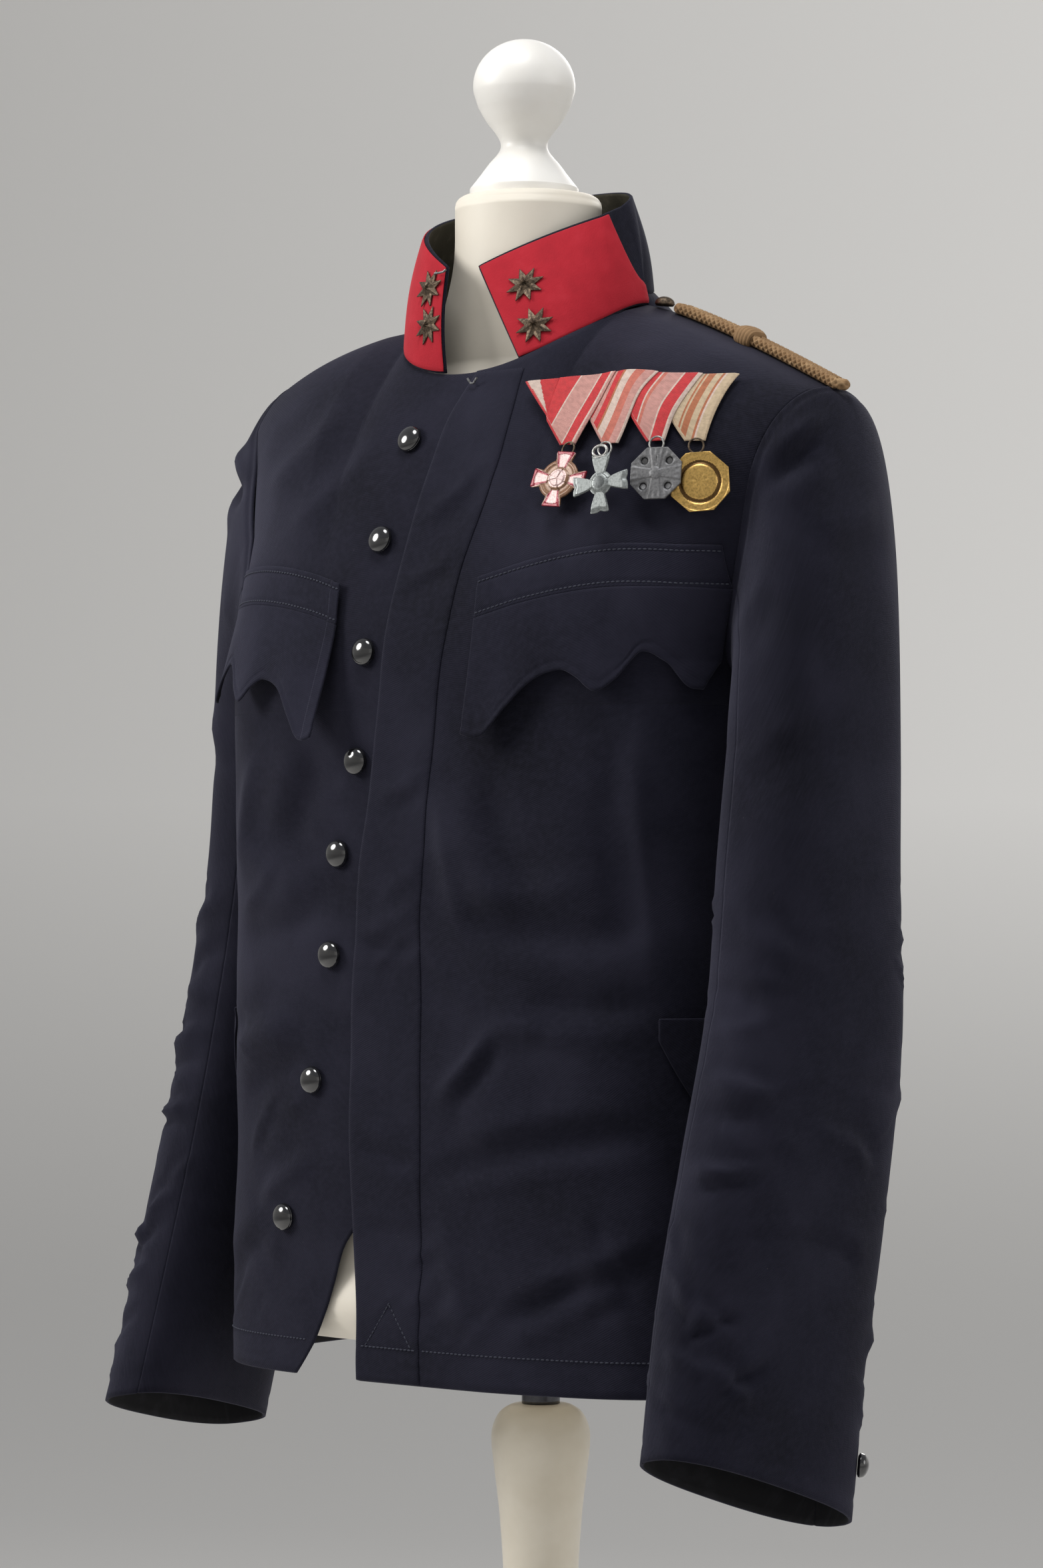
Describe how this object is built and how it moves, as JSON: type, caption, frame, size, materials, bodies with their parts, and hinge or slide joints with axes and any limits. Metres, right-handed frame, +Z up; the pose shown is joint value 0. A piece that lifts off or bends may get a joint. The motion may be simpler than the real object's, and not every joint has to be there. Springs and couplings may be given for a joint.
{
  "type": "military dress tunic on a dress form",
  "caption": "Stand-collar wool dress tunic with patches, flap pockets, shoulder cord and medals on folded ribbons, on a limbless form and turned stand.",
  "frame": {"origin": "centre of the stand's base, on the floor", "axes": "+Z up the stand, the tunic faces -Y, the wearer's left side is +X"},
  "size_m": [0.5576, 0.4082, 1.5998],
  "materials": {
    "navy_wool": "matt milled wool",
    "red_felt": "matt felt",
    "black_button": "gloss",
    "dull_brass": "tarnished",
    "gold_braid": "metal thread braid",
    "hook_steel": "satin",
    "cream_form": "smooth stretched cover",
    "white_turned_wood": "gloss paint",
    "chrome_rod": "polished",
    "medal_silver": "dull silvered",
    "medal_bronze": "dull gilt",
    "medal_enamel": "enamel",
    "ribbon_red": "ribbed silk",
    "ribbon_rose": "ribbed silk",
    "ribbon_salmon": "ribbed silk",
    "ribbon_cream": "ribbed silk"
  },
  "bodies": {
    "root": {"back": "navy_wool", "chest_band_left": "navy_wool", "chest_band_right": "navy_wool", "chest_flap_left": "navy_wool", "chest_flap_right": "navy_wool", "collar_hook": "hook_steel", "collar_left": "navy_wool", "collar_patch_left": "red_felt", "collar_patch_right": "red_felt", "collar_right": "navy_wool", "collar_star_left_1": "dull_brass", "collar_star_left_2": "dull_brass", "collar_star_right_1": "dull_brass", "collar_star_right_2": "dull_brass", "cord_button": "dull_brass", "cord_slide": "gold_braid", "cuff_button_left": "black_button", "cuff_button_right": "black_button", "fly_band": "navy_wool", "form_finial": "white_turned_wood", "form_torso": "cream_form", "front_button_1": "black_button", "front_button_2": "black_button", "front_button_3": "black_button", "front_button_4": "black_button", "front_button_5": "black_button", "front_button_6": "black_button", "front_button_7": "black_button", "front_button_8": "black_button", "front_left": "navy_wool", "front_right": "navy_wool", "hip_flap_left": "navy_wool", "hip_flap_right": "navy_wool", "medal_1": "medal_enamel", "medal_2": "medal_silver", "medal_3": "medal_silver", "medal_4": "medal_bronze", "ribbon_1": "ribbon_red", "ribbon_2": "ribbon_rose", "ribbon_3": "ribbon_salmon", "ribbon_4": "ribbon_cream", "shoulder_cord": "gold_braid", "sleeve_left_under": "navy_wool", "sleeve_left_upper": "navy_wool", "sleeve_right_under": "navy_wool", "sleeve_right_upper": "navy_wool", "stand_base": "white_turned_wood", "stand_column": "white_turned_wood", "stand_rod": "chrome_rod", "throat_hook": "hook_steel"}
  },
  "joints": []
}
